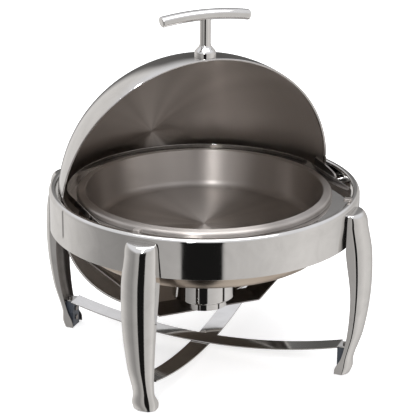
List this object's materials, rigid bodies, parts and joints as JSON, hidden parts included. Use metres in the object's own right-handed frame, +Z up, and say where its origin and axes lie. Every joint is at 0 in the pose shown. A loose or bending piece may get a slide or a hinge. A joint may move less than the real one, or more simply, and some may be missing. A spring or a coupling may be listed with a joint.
{
  "type": "chafing dish food warmer",
  "caption": "Round roll-top food warmer: a domed lid rolls back under the pan inside a steel ring on curved legs, over a fuel burner shelf.",
  "frame": {"origin": "on the floor under the centre of the ring", "axes": "+Z up, front towards -Y, the lid's hinge axis along X"},
  "size_m": [0.484, 0.484, 0.557],
  "materials": {
    "polished_steel": "mirror-polished stainless steel",
    "satin_steel": "satin-brushed stainless steel",
    "dark_steel": "plain dull stainless steel",
    "rubber": "matt black rubber"
  },
  "bodies": {
    "frame": {"cross_strap_lower": "polished_steel", "cross_strap_upper": "polished_steel", "foot_block_front_left": "rubber", "foot_block_front_right": "rubber", "foot_block_rear_left": "rubber", "foot_block_rear_right": "rubber", "foot_screws": "dark_steel", "fuel_shelf": "dark_steel", "hinge_cap_left": "polished_steel", "hinge_cap_right": "polished_steel", "hinge_pin_left": "polished_steel", "hinge_pin_right": "polished_steel", "leg_bracket_front_left": "dark_steel", "leg_bracket_front_right": "dark_steel", "leg_bracket_rear_left": "dark_steel", "leg_bracket_rear_right": "dark_steel", "leg_front_left": "polished_steel", "leg_front_right": "polished_steel", "leg_rear_left": "polished_steel", "leg_rear_right": "polished_steel", "leg_screws": "dark_steel", "lid_bumper_left": "satin_steel", "lid_bumper_right": "satin_steel", "ring_band": "polished_steel", "shelf_rivets": "dark_steel", "stop_pin_left": "polished_steel", "stop_pin_right": "polished_steel", "strap_screws": "dark_steel", "water_pan": "polished_steel"},
    "lid": {"handle_bar": "polished_steel", "handle_bolt": "polished_steel", "handle_flare": "polished_steel", "handle_stem": "polished_steel", "lid_dome": "polished_steel", "lid_ear_left": "dark_steel", "lid_ear_right": "dark_steel", "lid_hem": "satin_steel"},
    "food_pan": {"food_pan": "satin_steel"},
    "fuel_holder": {"damper_rivet": "polished_steel", "holder_base": "polished_steel", "holder_cover": "polished_steel", "holder_cup": "polished_steel"},
    "damper": {"damper_knob": "polished_steel", "damper_plate": "polished_steel"}
  },
  "joints": [
    {"name": "lid_hinge", "type": "hinge", "parent": "frame", "child": "lid", "pos_m": [0, 0, 0.256], "axis": [1, 0, 0], "range_deg": [0, 78.7]},
    {"name": "food_pan_lift", "type": "slide", "parent": "frame", "child": "food_pan", "axis": [0, 0, 1], "range_m": [0, 0.06]},
    {"name": "fuel_holder_lift", "type": "slide", "parent": "frame", "child": "fuel_holder", "axis": [0, 0, 1], "range_m": [0, 0.02]},
    {"name": "damper_swing", "type": "hinge", "parent": "fuel_holder", "child": "damper", "pos_m": [0.034, 0, 0.148], "axis": [0, 0, 1], "range_deg": [0, 100]}
  ]
}
